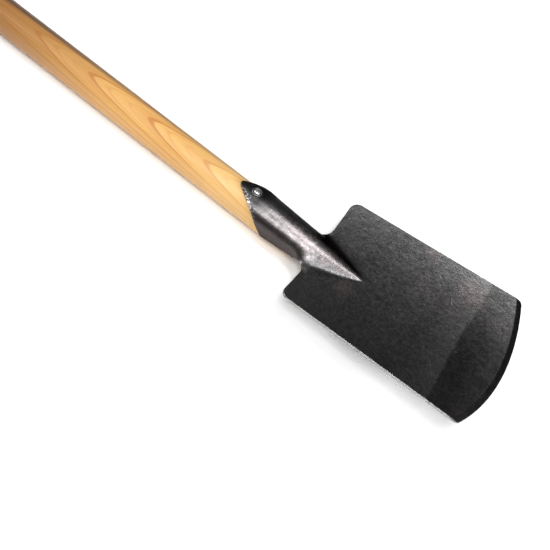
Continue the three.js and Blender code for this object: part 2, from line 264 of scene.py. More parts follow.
def combine(piece, tool, operation):
    """Applies an exact boolean of piece with tool, and removes the tool."""
    cut = piece.modifiers.new("cut", "BOOLEAN")
    cut.operation = operation
    cut.solver = "EXACT"
    cut.object = tool
    bpy.context.view_layer.update()
    result = piece.evaluated_get(bpy.context.evaluated_depsgraph_get())
    mesh = bpy.data.meshes.new_from_object(result)
    mesh.name = piece.name
    piece.modifiers.clear()
    piece.data = mesh
    bpy.data.objects.remove(tool)


def drill(piece, station, radius, low, high, segments=COARSE):
    """Cuts an upright round hole, from a low to a high end, into a piece."""
    points, faces = cylinder(radius, low, high, segments)
    combine(piece, new_object("hole", upright(points, station), faces), "DIFFERENCE")


def finish_piece(piece, node, material):
    """Gives a piece its material, hangs it under the root body, and hides the CAD node that it
    stands for.
    """
    piece.data.materials.clear()
    piece.data.materials.append(material)
    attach(piece, "root")
    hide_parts(node)


# ---------- head: the sheet is described flat, by a station along the shaft and a reach across it

def socket_radius(station):
    beyond = np.maximum(MOUTH_STATION - station, 0)
    return SOCKET_ROOT_RADIUS - SOCKET_TAPER * (station + beyond) - TONGUE_TAPER * beyond


def shoulder_swell(station, reach):
    """How far the socket's hammered shoulders, beside its crest, stand proud of the round tube."""
    angle = np.abs(reach) / socket_radius(station)
    around = smoothstep(angle, *SWELL_RISE) * (1 - smoothstep(angle, *SWELL_FALL))
    along = 1 - smoothstep(station, *SWELL_END)
    at_mouth = np.exp(-((station - MOUTH_STATION) / SWELL_AT_MOUTH_SPREAD) ** 2)
    side = lerp(SWELL_RIGHT_SHARE, 1.0, smoothstep(reach, *SWELL_CREST))
    return (SWELL + SWELL_AT_MOUTH * at_mouth) * around * along * side


def tube_point(station, reach):
    """The front of the sheet where it is rolled into the socket."""
    radius = socket_radius(station)
    angle = reach / radius
    radius = radius + shoulder_swell(station, reach)
    return np.stack([station + 0 * reach, radius * np.sin(angle), radius * np.cos(angle)], -1)


def ridge_profile(offset):
    """Height of the ridge over the blade at the shoulder line: a round crown with fillets."""
    distance = np.abs(offset)
    on_crown = np.minimum(distance, RIDGE_CROWN)
    crown = np.sqrt(SOCKET_ROOT_RADIUS ** 2 - on_crown ** 2) - PLATE_HEIGHT
    span = RIDGE_FOOT - RIDGE_CROWN
    t = np.clip((distance - RIDGE_CROWN) / span, 0, 1)
    slope = -RIDGE_CROWN / math.sqrt(SOCKET_ROOT_RADIUS ** 2 - RIDGE_CROWN ** 2)
    fillet = crown * (2 * t ** 3 - 3 * t * t + 1) + span * slope * (t ** 3 - 2 * t * t + t)
    return np.where(distance <= RIDGE_CROWN, crown, np.where(distance < RIDGE_FOOT, fillet, 0))


def ridge_height(station, offset):
    least = 0.001
    scale = np.where(station > 0, 1 - station / RIDGE_LENGTH, 1 - CREST_RISE * station)
    safe = np.maximum(scale, least)
    width = np.where(station > 0, safe ** RIDGE_TAPER, safe)
    return np.where(scale > least, safe * ridge_profile(offset / width), 0)


def plate_point(station, reach, ridged):
    """The front of the dished plate, with or without the ridge on it."""
    height = reach ** 2 * DISH_CURVE
    if ridged:
        height = height + ridge_height(station, reach)
    x = station * math.cos(LIFT_ANGLE) - height * math.sin(LIFT_ANGLE)
    z = PLATE_HEIGHT + station * math.sin(LIFT_ANGLE) + height * math.cos(LIFT_ANGLE)
    return np.stack([x, reach + 0 * x, z], -1)


def front_point(station, reach, ridged=True):
    """The front of the whole sheet: the socket's tube, turning into the plate."""
    along = 1 - smoothstep(station, *TUBE_END)
    across = smoothstep(np.abs(reach), *NECK_SIDE) * smoothstep(station, *NECK_END)
    share = (along * (1 - across))[..., None]
    return lerp(plate_point(station, reach, ridged), tube_point(station, reach), share)


def unit(vectors):
    return vectors / np.linalg.norm(vectors, axis=-1, keepdims=True)


def front_normal(station, reach, ridged):
    step = 0.05
    ahead = front_point(station + step, reach, ridged)
    behind = front_point(station - step, reach, ridged)
    left = front_point(station, reach + step, ridged)
    right = front_point(station, reach - step, ridged)
    return unit(np.cross(ahead - behind, left - right))


def sheet_point(station, reach, depth):
    """A point at a depth below the front. Near the ridge's tip, its slopes don't turn the depth."""
    near_tip = (1 - smoothstep(1 - station / RIDGE_LENGTH, *RIDGE_TIP))[..., None]
    ridged = front_normal(station, reach, True)
    plain = front_normal(station, reach, False)
    return front_point(station, reach) - unit(lerp(ridged, plain, near_tip)) * depth[..., None]


def sheet_thickness(station):
    return lerp(SOCKET_THICKNESS, PLATE_THICKNESS, smoothstep(station, *THICKNESS_CHANGE))


def mouth_station(reach):
    """The slanted mouth of the socket, which runs out into the tongue."""
    rise = np.hypot(reach, TONGUE_ROUNDING) - TONGUE_ROUNDING
    return -TONGUE_LENGTH + TONGUE_SLOPE * rise - TONGUE_EASING * rise * rise


def tread_station(reach):
    """The shoulders of the blade, with their rounded corners."""
    distance = np.abs(reach)
    line = SEAM - TREAD_SLOPE * np.maximum(distance - SEAM_REACH, 0)
    beyond = np.clip(distance - (SHOULDER_WIDTH / 2 - SHOULDER_CORNER), 0, SHOULDER_CORNER)
    return line + SHOULDER_CORNER - np.sqrt(SHOULDER_CORNER ** 2 - beyond ** 2)


def edge_station(reach):
    return BLADE_LENGTH + EDGE_BULGE - EDGE_RADIUS + np.sqrt(EDGE_RADIUS ** 2 - reach ** 2)


def rounded_edge_station(reach):
    """The cutting edge with its two corners rounded off."""
    beyond = np.clip(np.abs(reach) - (EDGE_WIDTH / 2 - EDGE_CORNER), 0, EDGE_CORNER)
    return edge_station(reach) - EDGE_CORNER + np.sqrt(EDGE_CORNER ** 2 - beyond ** 2)


# Rows and columns of the two grids of the sheet.
NECK_COLUMNS = 64
MOUTH_ROWS = 30
FLAP_ROWS = 16
NOTCH_ROWS = 20
TREAD_COLUMNS = 16
CORNER_COLUMNS = 10
RIDGE_ROWS = 44
RIDGE_SHARE = 0.29  # of the blade's length, which holds the closer rows
PLAIN_ROWS = 64
BEVEL_HEEL = 0.9965  # one more row just before the bevel, as a share of the way to it
BEVEL_ROWS = 5


def neck_grid():
    """Stations and reaches of the socket and neck: mouth, flaps, then relief notches."""
    share = np.linspace(-1, 1, NECK_COLUMNS + 1)
    stations = []
    reaches = []
    for row in range(MOUTH_ROWS + 1):
        reach = share * FLAP_REACH
        reaches.append(reach)
        stations.append(lerp(mouth_station(reach), FLAP_START, row / MOUTH_ROWS))
    notch_centre = SEAM - NOTCH_RADIUS
    corner = math.asin((SEAM_REACH - FLAP_END_REACH) / NOTCH_RADIUS)
    flap_end = notch_centre - NOTCH_RADIUS * math.cos(corner)
    for row in range(1, FLAP_ROWS + 1):
        t = row / FLAP_ROWS
        reaches.append(share * lerp(FLAP_REACH, FLAP_END_REACH, t))
        stations.append(0 * share + lerp(FLAP_START, flap_end, t))
    for row in range(1, NOTCH_ROWS + 1):
        angle = lerp(math.pi - corner, 0, row / NOTCH_ROWS)
        reaches.append(share * (SEAM_REACH - NOTCH_RADIUS * math.sin(angle)))
        stations.append(0 * share + notch_centre + NOTCH_RADIUS * math.cos(angle))
    return np.array(stations), np.array(reaches)


def blade_grid():
    """Stations and reaches of the blade, from the shoulders to the cutting edge."""
    inner = np.linspace(-1, 1, NECK_COLUMNS + 1) * SEAM_REACH
    corner_start = SHOULDER_WIDTH / 2 - SHOULDER_CORNER
    straight = lerp(SEAM_REACH, corner_start, np.linspace(0, 1, TREAD_COLUMNS + 1)[1:])
    turn = np.linspace(0, 1, CORNER_COLUMNS + 1)[1:] * math.pi / 2
    outer = np.concatenate([straight, corner_start + SHOULDER_CORNER * np.sin(turn)])
    start = np.concatenate([-outer[::-1], inner, outer])
    end = start / SHOULDER_WIDTH * EDGE_WIDTH
    first = tread_station(start)
    tip = rounded_edge_station(end)
    bevel = tip - BEVEL_WIDTH
    fractions = np.concatenate([
        np.linspace(0, RIDGE_SHARE, RIDGE_ROWS + 1),
        np.linspace(RIDGE_SHARE, 1, PLAIN_ROWS + 1)[1:-1],
        [BEVEL_HEEL, 1],
    ])
    stations = [lerp(first, bevel, fraction) for fraction in fractions]
    stations += [lerp(bevel, tip, (i + 1) / BEVEL_ROWS) for i in range(BEVEL_ROWS)]
    stations = np.array(stations)
    along = (stations - first) / (tip - first)
    return stations, lerp(start, end, along)


def grid_faces(index):
    rows, columns = index.shape
    return [
        (index[r, c], index[r + 1, c], index[r + 1, c + 1], index[r, c + 1])
        for r in range(rows - 1)
        for c in range(columns - 1)
    ]


def head_plan():
    """One layer of the sheet laid flat: stations, reaches, faces, and the outline in order."""
    neck_stations, neck_reaches = neck_grid()
    blade_stations, blade_reaches = blade_grid()
    neck = np.arange(neck_stations.size).reshape(neck_stations.shape)
    blade = neck.size + np.arange(blade_stations.size).reshape(blade_stations.shape)
    side = TREAD_COLUMNS + CORNER_COLUMNS
    blade[0, side:-side] = neck[-1]
    faces = grid_faces(neck) + grid_faces(blade)
    outline = np.concatenate([
        neck[0, :-1],
        neck[:-1, -1],
        blade[0, -side - 1:-1],
        blade[:-1, -1],
        blade[-1, :0:-1],
        blade[:0:-1, 0],
        blade[0, :side],
        neck[:0:-1, 0],
    ])
    stations = np.concatenate([neck_stations.ravel(), blade_stations.ravel()])
    reaches = np.concatenate([neck_reaches.ravel(), blade_reaches.ravel()])
    return stations, reaches, faces, outline


# Unevenness of the forged faces, as (length along, length across, seed, height).
FORGING_WAVES = (
    (34, 34, 3.7, 0.16),
    (9, 7, 11.3, 0.055),
    (4.2, 3.4, 23.1, 0.02),
)
FRONT_SEED = 0
BACK_SEED = 40
SOCKET_ZONE = (-5, 40)  # stations over which the socket's rougher work fades out
MOUTH_ZONE = (2, 13)  # the same, as distances from the mouth
MOUTH_LIMIT = 38
EDGE_ZONE = (BEVEL_WIDTH, BEVEL_WIDTH + 6)  # distances from the edge where the marks come in
BLADE_MARKS = 0.8
SOCKET_MARKS = 0.5
MOUTH_MARKS = 1.6
GROUND_AWAY = 0.75


def forging_marks(station, reach, seed):
    """How far the forged face stands proud of the plain shape: long waves, small hammer facets."""
    marks = np.zeros(len(station))
    for i, (u, w) in enumerate(zip(station, reach)):
        for along, across, wave_seed, height in FORGING_WAVES:
            marks[i] += height * noise.noise(Vector((u / along, w / across, wave_seed + seed)))
    from_mouth = station - mouth_station(np.clip(reach, -MOUTH_LIMIT, MOUTH_LIMIT))
    socket = 1 - smoothstep(station, *SOCKET_ZONE)
    mouth = 1 - smoothstep(from_mouth, *MOUTH_ZONE)
    edge = 1 - smoothstep(edge_station(reach) - station, *EDGE_ZONE)
    strength = BLADE_MARKS + SOCKET_MARKS * socket + MOUTH_MARKS * mouth * socket
    return marks * strength * (1 - GROUND_AWAY * edge)


WALL_TURNS = (30, 60, 90)  # degrees around the rounded edge of the sheet


def build_head():
    stations, reaches, faces, outline = head_plan()
    thickness = sheet_thickness(stations) + shoulder_swell(stations, reaches)
    to_edge = rounded_edge_station(reaches) - stations
    bevel = np.clip(1 - to_edge / BEVEL_WIDTH, 0, 1)
    front_depth = bevel * (thickness - EDGE_THICKNESS)

    # The two faces stop short of the outline by the rounding of the edge.
    plan = np.stack([stations, reaches], 1)
    ring = plan[outline]
    tangent = np.roll(ring, -1, 0) - np.roll(ring, 1, 0)
    outward = unit(np.stack([-tangent[:, 1], tangent[:, 0]], 1))
    radius = np.minimum(EDGE_ROUNDING, ROUNDING_SHARE * (thickness - front_depth)[outline])
    plan[outline] -= outward * radius[:, None]
    station, reach = plan.T
    front_depth = front_depth - forging_marks(station, reach, FRONT_SEED)
    back_depth = thickness + forging_marks(station, reach, BACK_SEED)

    used = np.zeros(len(stations), bool)
    used[np.array(faces).ravel()] = True
    number = np.cumsum(used) - 1
    total = int(used.sum())
    layers = [sheet_point(station, reach, depth)[used] for depth in (front_depth, back_depth)]
    head_faces = [tuple(number[list(face)]) for face in faces]
    head_faces += [tuple(number[list(face)][::-1] + total) for face in faces]

    # The wall between them: a quarter round down from the front, and another up to the back.
    rings = [number[outline]]
    last_ring = number[outline] + total
    total *= 2
    turns = [math.radians(a) for a in WALL_TURNS]
    steps = [(turn, False) for turn in turns] + [(turn, True) for turn in reversed(turns)]
    for turn, at_back in steps:
        place = ring - outward * (radius * (1 - math.sin(turn)))[:, None]
        drop = radius * (1 - math.cos(turn))
        depth = back_depth[outline] - drop if at_back else front_depth[outline] + drop
        layers.append(sheet_point(place[:, 0], place[:, 1], depth))
        rings.append(np.arange(total, total + len(outline)))
        total += len(outline)
    rings.append(last_ring)
    for upper, lower in zip(rings, rings[1:]):
        for i in range(len(outline)):
            j = (i + 1) % len(outline)
            head_faces.append((upper[j], upper[i], lower[i], lower[j]))
    head_faces = [tuple(int(v) for v in face) for face in head_faces]
    piece = new_object("spade_head", np.concatenate(layers), head_faces, SHARP_ON_HEAD)
    drill(piece, RIVET_STATION, RIVET_RADIUS + FIT, HOLE_START, 3 * SHAFT_RADIUS)
    return piece


# ---------- grip bar and its envelope

def grip_profile(growth):
    """The outline of the barrel-shaped bar from end to end, grown by a distance on all sides."""
    corner_steps = 10
    steps = 40
    straight = GRIP_HALF_LENGTH - GRIP_ROUNDING
    thin = GRIP_RADIUS - GRIP_END_DROP
    corner = []
    for i in range(corner_steps + 1):
        angle = i / corner_steps * math.pi / 2
        reach = straight + GRIP_ROUNDING * math.cos(angle) + growth * math.cos(angle)
        corner.append((reach, thin - GRIP_ROUNDING + GRIP_ROUNDING * math.sin(angle) + growth))
    profile = [(-GRIP_HALF_LENGTH - growth, 0)]
    profile += [(-reach, radius) for reach, radius in corner]
    for i in range(1, steps):
        reach = lerp(-straight, straight, i / steps)
        profile.append((reach, GRIP_RADIUS - GRIP_END_DROP * (reach / straight) ** 2 + growth))
    profile += corner[::-1]
    profile.append((GRIP_HALF_LENGTH + growth, 0))
    return profile


def grip_barrel(name, growth):
    points, faces = turned(grip_profile(growth), FINE)
    return new_object(name, crosswise(points, GRIP_STATION), faces, SHARP_ON_WOOD)


def drill_for_pin(piece):
    station = GRIP_STATION + PIN_OFFSET
    drill(piece, station, PIN_RADIUS + FIT, -2 * GRIP_RADIUS, 2 * GRIP_RADIUS)


def build_grip():
    piece = grip_barrel("spade_grip", 0)
    points, faces = cylinder(TENON_RADIUS + FIT, GRIP_STATION - CLEAR, GRIP_STATION + CLEAR, FINE)
    combine(piece, new_object("bore", points, faces), "DIFFERENCE")
    drill_for_pin(piece)
    return piece


# ---------- shaft

def wedge_block(name, growth, width):
    """A wedge seen from above: thick at the far side of the grip bar and thin towards the blade."""
    far = GRIP_STATION - 2 * GRIP_RADIUS
    tip = GRIP_STATION - GRIP_RADIUS + WEDGE_LENGTH
    slope = (WEDGE_THICK_END - WEDGE_THIN_END) / 2 / WEDGE_LENGTH
    far_half = WEDGE_THIN_END / 2 + slope * (tip - far) + growth
    tip_half = WEDGE_THIN_END / 2 + growth
    points, faces = box_points((far, -1, -width / 2), (tip + growth, 1, width / 2))
    points[:, 1] *= np.where(points[:, 0] < tip - 1, far_half, tip_half)
    return new_object(name, points, faces)


def scarf_block(name):
    """The block that the slanted saw cut at the shaft's lower end takes away."""
    radius = SHAFT_END_RADIUS
    side = 4 * radius
    low = (SHAFT_END, -side / 2, -3 * radius)
    high = (SHAFT_END + side, side / 2, radius)
    points, faces = box_points(low, high)
    low_near = (points[:, 0] < SHAFT_END + 1) & (points[:, 2] < 0)
    points[low_near, 0] = SHAFT_END - 2 * SHAFT_SCARF
    return new_object(name, points, faces)


def tapered(start, end, start_radius, end_radius, steps):
    """Evenly spaced (station, radius) pairs, from one step past the start to the end."""
    shares = [i / steps for i in range(1, steps + 1)]
    return [(lerp(start, end, t), lerp(start_radius, end_radius, t)) for t in shares]


def shaft_profile():
    """The outline of the shaft, from its neck inside the grip bar down to its end in the socket."""
    neck_steps = 12
    neck_start = GRIP_STATION + 0.5 * GRIP_RADIUS
    profile = [(neck_start, 0)]
    for i in range(neck_steps + 1):
        t = i / neck_steps
        radius = lerp(SHAFT_NECK_RADIUS, SHAFT_GRIP_RADIUS, float(smoothstep(t, 0, 1)))
        profile.append((neck_start + t * SHAFT_NECK_LENGTH, radius))
    neck_end = profile[-1][0]
    profile += tapered(neck_end, TAPER_START, SHAFT_GRIP_RADIUS, SHAFT_RADIUS, 73)
    profile += tapered(TAPER_START, SHAFT_END, SHAFT_RADIUS, SHAFT_END_RADIUS, 8)
    profile.append((SHAFT_END, 0))
    return profile


def build_tenon():
    """The tenon, which ends flush with the far side of the grip bar."""
    end = GRIP_STATION + GRIP_RADIUS + TENON_ROOT
    points, faces = cylinder(TENON_RADIUS, GRIP_STATION - CLEAR, end, FINE)
    tenon = new_object("tenon", points, faces, SHARP_ON_WOOD)
    limit = grip_barrel("limit", 0)
    points, faces = cylinder(LIMIT_RADIUS, GRIP_STATION, end + LIMIT_EXTRA, COARSE)
    combine(limit, new_object("near_side", points, faces), "UNION")
    combine(tenon, limit, "INTERSECT")
    return tenon


def build_shaft():
    points, faces = turned(shaft_profile(), FINE)
    piece = new_object("spade_shaft", points, faces, SHARP_ON_WOOD)
    combine(piece, grip_barrel("cut", FIT), "DIFFERENCE")
    combine(piece, scarf_block("scarf"), "DIFFERENCE")
    combine(piece, build_tenon(), "UNION")
    combine(piece, wedge_block("kerf", FIT, 4 * TENON_RADIUS), "DIFFERENCE")
    drill_for_pin(piece)
    across = 2 * SHAFT_RADIUS
    drill(piece, RIVET_STATION, RIVET_RADIUS + FIT, -across, across)
    drill(piece, RIVET_STATION, WASHER_RADIUS + SEAT_MARGIN, -across, SEAT_HEIGHT, MEDIUM)
    return piece


# ---------- rivet through the tongue and the shaft, closed over a washer let into the back

def build_rivet():
    tail_steps = 8
    dome_steps = 13
    crest = float(socket_radius(np.float64(RIVET_STATION)))
    top = float(socket_radius(np.float64(RIVET_STATION + RIVET_HEAD_RADIUS))) + RIVET_HEAD_HEIGHT
    profile = [(TAIL_TIP, 0)]
    for i in range(1, tail_steps + 1):
        angle = i / tail_steps * math.pi / 2
        height = TAIL_BASE - RIVET_TAIL_HEIGHT * math.cos(angle) ** RIVET_TAIL_FULLNESS
        profile.append((height, RIVET_TAIL_RADIUS * math.sin(angle)))
    profile.append((TAIL_BASE, RIVET_RADIUS))
    profile.append((crest - SOCKET_THICKNESS, RIVET_RADIUS))
    saddle = len(profile)
    profile += [(crest, RIVET_RADIUS), (crest, RIVET_HEAD_RADIUS)]
    rim = top - RIVET_DOME_HEIGHT
    groove = rim - RIVET_GROOVE_DEPTH
    profile += [
        (rim - 0.25, RIVET_HEAD_RADIUS),
        (rim, RIVET_HEAD_RADIUS - 0.3),
        (rim, RIVET_HEAD_RADIUS - 0.9),
        (groove, RIVET_HEAD_RADIUS - 1.4),
        (groove, RIVET_DOME_RADIUS + 0.2),
    ]
    for i in range(dome_steps):
        angle = i / dome_steps * math.pi / 2
        height = lerp(rim - 0.2, top, math.sin(angle))
        profile.append((height, RIVET_DOME_RADIUS * math.cos(angle)))
    profile.append((top, 0))
    points, faces = turned(profile, SMOOTH)
    points = upright(points, RIVET_STATION)

    # The underside of the head follows the round tongue.
    first = 1 + (saddle - 1) * SMOOTH
    seated = slice(first, first + 2 * SMOOTH)
    tongue = socket_radius(points[seated, 0])
    points[seated, 2] = np.sqrt(tongue ** 2 - points[seated, 1] ** 2) + RIVET_HEAD_GAP
    return new_object("spade_rivet", points, faces)


def build_washer():
    low = WASHER_LOW
    high = WASHER_HIGH
    hole = RIVET_RADIUS + FIT
    rim = WASHER_EDGE
    profile = [
        (low, hole + rim), (low, WASHER_RADIUS - rim), (low + rim, WASHER_RADIUS),
        (high - rim, WASHER_RADIUS), (high, WASHER_RADIUS - rim), (high, hole + rim),
        (high - rim, hole), (low + rim, hole), (low, hole + rim),
    ]
    points, faces = turned(profile, SMOOTH)
    count = len(points) - SMOOTH  # the last ring is the first one again
    wrapped = [tuple(v - count if v >= count else v for v in face) for face in faces]
    return new_object("spade_washer", upright(points[:count], RIVET_STATION), wrapped)


def build_wedge():
    piece = wedge_block("spade_wedge", 0, WEDGE_WIDTH)
    combine(piece, grip_barrel("limit", -WEDGE_INSET), "INTERSECT")
    return piece


def build_pin():
    reach = math.sqrt(GRIP_RADIUS ** 2 - PIN_OFFSET ** 2) - CLEARANCE
    profile = [
        (-reach, 0),
        (-reach, PIN_RADIUS - 0.5),
        (-reach + 0.15, PIN_RADIUS - 0.15),
        (-reach + 0.5, PIN_RADIUS),
    ]
    profile += [(-x, radius) for x, radius in profile[::-1]]
    points, faces = turned(profile, MEDIUM)
    return new_object("spade_pin", upright(points, GRIP_STATION + PIN_OFFSET), faces)


# ---------- material colours and places

SCALE_DARK = (0.085, 0.085, 0.087)
SCALE_LIGHT = (0.12, 0.12, 0.121)
SCALE_GREY = (0.175, 0.173, 0.173)
SCALE_BRIGHT = (0.34, 0.335, 0.333)
# dark colour: painted shade beyond the line across the blade and at the foot of the ridge, and the
# darker place around the rivet
DARK_SCALE_AND_SHADE = (0.035, 0.034, 0.036)
# painted shade for the corner at the +Y foot of the ridge
PAINTED_CORNER_SHADE = (0.012, 0.012, 0.013)
# painted shade on the bevel
BEVEL_SHADE = (0.02, 0.02, 0.021)
OXIDE = (0.30, 0.23, 0.23)
BROWN_SCALE = (0.07, 0.055, 0.053)
# bare steel of the specks and scratches, and the painted highlight along the blade's sides
WORN_AND_EDGE_HIGHLIGHT = (0.62, 0.61, 0.6)
# colour of the painted highlight along the crest
PAINTED_CREST_HIGHLIGHT = (0.53, 0.44, 0.45)
STEEL_DULL = (0.45, 0.45, 0.455)
STEEL_BRIGHT = (0.8, 0.8, 0.805)
STEEL_RIM = (0.14, 0.14, 0.145)
GROOVE_DARK = (0.03, 0.03, 0.03)
EDGE_TINT = (0.3, 0.3, 0.3)  # dark steel doesn't turn white at a grazing angle
FLOOR_TONES = ((0.9, 0.9, 0.9), (0.94, 0.94, 0.94))

# Wood, as its light tone, growth lines, dark fibres and broad darker tone.
ASH_SHAFT = ((0.63, 0.375, 0.125), (0.40, 0.14, 0.03), (0.31, 0.135, 0.045), (0.56, 0.29, 0.08))
ASH_GRIP = ((0.70, 0.42, 0.16), (0.50, 0.23, 0.07), (0.36, 0.17, 0.06), (0.62, 0.34, 0.12))
OAK = ((0.26, 0.13, 0.055), (0.15, 0.07, 0.03), (0.1, 0.05, 0.02), (0.2, 0.1, 0.04))
DARKER_ASH_TONES = ((0.275, 0.118, 0.028), (0.19, 0.076, 0.016))
# painted highlight on the wood near the blade
PAINTED_ASH_HIGHLIGHT = (0.75, 0.53, 0.23)
# painted shade along the +Y side of the shaft
SHAFT_SIDE_SHADE = (0.05, 0.025, 0.016)

# A line across the blade, with a painted reflection in the lighter band before it and painted shade
# in the stretch beyond it.
REFLECTION_BAND = (128.0, 160.0)
BLADE_LINE = (163.0, 166.5)
SHADE_FADE = (174.0, 203.0)

# Where the scale has turned to thin oxide, as (x, y, radius, strength) in millimetres.
OXIDE_PATCHES = (
    (44.0, -22.0, 15.0, 1.0),
    (152.0, 60.0, 24.0, 0.5),
    (98.0, 76.0, 14.0, 0.4),
    (196.0, -70.0, 14.0, 0.3),
)
# Scratches, as (x, y, direction in degrees, length, width).
SCRATCHES = (
    (139.5, 40.0, -58, 10.0, 0.9),
    (116.0, 58.0, -40, 5.0, 0.8),
    (106.0, 12.0, 12, 7.0, 0.5),
    (71.0, 33.0, -20, 5.5, 0.5),
    (156.0, -48.0, -62, 24.0, 0.45),
    (168.0, -9.0, 30, 3.0, 0.9),
    (88.0, -36.0, 75, 8.0, 0.4),
)


def with_alpha(colour):
    """A plain colour with its alpha, or anything else as it is."""
    return (*colour, 1) if isinstance(colour, tuple) else colour


class Shader:
    """A material's node tree, with short ways to add nodes."""

    def __init__(self, name):
        self.material = bpy.data.materials.new(name)
        self.material.use_nodes = True
        self.tree = self.material.node_tree
        place = self.add("TexCoord").outputs["Object"]
        # The place in millimetres, in the spade's own axes.
        self.place = self.mapped(place, (1 / MM,) * 3, [-v / MM for v in ORIGIN])

    def put(self, socket, value):
        if isinstance(value, bpy.types.NodeSocket):
            self.tree.links.new(value, socket)
        else:
            socket.default_value = value

    def fill(self, node, values):
        for name, value in values.items():
            self.put(node.inputs[name.replace("_", " ")], value)

    def add(self, kind, **values):
        node = self.tree.nodes.new("ShaderNode" + kind)
        self.fill(node, values)
        return node

    def surface(self, **values):
        """Sets the surface's own values, and returns the finished material."""
        bsdf = self.tree.nodes["Principled BSDF"]
        self.fill(bsdf, {name: with_alpha(value) for name, value in values.items()})
        return self.material

    def mapped(self, vector, scale, location):
        node = self.add("Mapping", Vector=vector, Scale=scale, Location=location)
        return node.outputs["Vector"]

    def axes(self):
        return tuple(self.add("SeparateXYZ", Vector=self.place).outputs)

    def noise(self, scale, detail, roughness=0.5, offset=(0, 0, 0)):
        """Noise in 0 to 1. The scale is in features per millimetre, for each axis."""
        size = (scale,) * 3 if isinstance(scale, float) else scale
        place = self.mapped(self.place, size, offset)
        node = self.add("TexNoise", Vector=place, Scale=1.0, Detail=detail, Roughness=roughness)
        return node.outputs["Fac"]

    def range(self, value, low, high, to_low=0.0, to_high=1.0):
        """A smooth change from to_low to to_high, as the value goes from low to high."""
        node = self.add("MapRange", Value=value, From_Min=low, From_Max=high)
        self.fill(node, {"To Min": to_low, "To Max": to_high})
        node.interpolation_type = "SMOOTHSTEP"
        return node.outputs["Result"]

    def fall(self, value, low, high, start=1.0):
        """A smooth fall from start to 0, as the value goes from low to high."""
        return self.range(value, low, high, start, 0.0)

    def mix(self, factor, a, b):
        node = self.add("Mix")
        node.data_type = "RGBA"
        for number, value in ((0, factor), (6, a), (7, b)):
            self.put(node.inputs[number], with_alpha(value))
        return node.outputs[2]

    def bump(self, height, distance, below=None):
        node = self.add("Bump", Strength=1.0, Distance=distance * MM, Height=height)
        if below is not None:
            self.put(node.inputs["Normal"], below)
        return node.outputs["Normal"]

    def math(self, operation, *values):
        node = self.add("Math")
        node.operation = operation
        for socket, value in zip(node.inputs, values):
            self.put(socket, value)
        return node.outputs[0]

    def chain(self, operation, values):
        """Joins two or more values from left to right."""
        total = values[0]
        for value in values[1:]:
            total = self.math(operation, total, value)
        return total

    def product(self, *values):
        return self.chain("MULTIPLY", values)

    def greatest(self, *values):
        return self.chain("MAXIMUM", values)

    def minus(self, a, b):
        return self.math("SUBTRACT", a, b)

    def distance(self, a, b):
        return self.math("SQRT", self.math("ADD", self.product(a, a), self.product(b, b)))

    def along(self, axes, direction):
        """How far a place lies from the origin in a direction."""
        terms = [self.product(axis, float(share)) for axis, share in zip(axes, direction)]
        return self.chain("ADD", terms)


# ---------- forged steel, one kind of mark at a time, each laid over the colour below it

def scale_mottle(shader):
    cloud = shader.range(shader.noise(0.03, 3.0, 0.55), 0.34, 0.66)
    mottle = shader.range(shader.noise(0.16, 4.0, 0.6), 0.3, 0.7)
    speck = shader.range(shader.noise(0.6, 3.0, 0.6, (1, 7, 3)), 0.45, 0.75)
    base = shader.mix(cloud, SCALE_DARK, SCALE_LIGHT)
    base = shader.mix(shader.product(mottle, 0.55), base, SCALE_GREY)
    return shader.mix(shader.product(speck, 0.26), base, SCALE_BRIGHT)


def painted_line_reflection(shader, base, x, y):
    """Painted reflection in a lighter band up to the line, and beyond it painted shade that clears
    towards the edge.
    """
    wander = shader.range(shader.noise(0.035, 2.0, 0.5, (4, 4, 8)), 0.0, 1.0, -2.0, 2.0)
    place = shader.math("ADD", x, wander)
    band = shader.product(shader.range(place, *REFLECTION_BAND), shader.fall(place, *BLADE_LINE))
    base = shader.mix(shader.product(band, 0.22), base, SCALE_BRIGHT)
    shade_beyond = shader.product(
        shader.range(place, *BLADE_LINE),
        shader.range(place, *SHADE_FADE, 0.56, 0.12),
        shader.range(y, 5.0, 65.0, 1.1, 0.35),
        shader.range(y, -80.0, -35.0, 0.6, 1.0),
    )
    return shader.mix(shade_beyond, base, DARK_SCALE_AND_SHADE)


def painted_ridge_corner_shade(shader, base, x, y):
    """Painted shade in the corner along the +Y foot of the ridge, on the side away from the light.
    """
    border = shader.minus(RIDGE_FOOT + 1.0, shader.product(x, 0.4))
    inside = shader.minus(border, y)
    corner = shader.product(
        shader.range(y, 0.5, 5.0),
        shader.range(inside, -6.0, 6.0),
        shader.range(x, -20.0, 0.0),
        shader.fall(x, 40.0, 72.0, 0.92),
    )
    return shader.mix(corner, base, PAINTED_CORNER_SHADE)


def worn_treads(shader, base, x, reach):
    treads = shader.product(shader.range(reach, 22.0, 42.0), shader.fall(x, 2.0, 75.0, 0.95))
    return shader.mix(treads, base, SCALE_GREY)


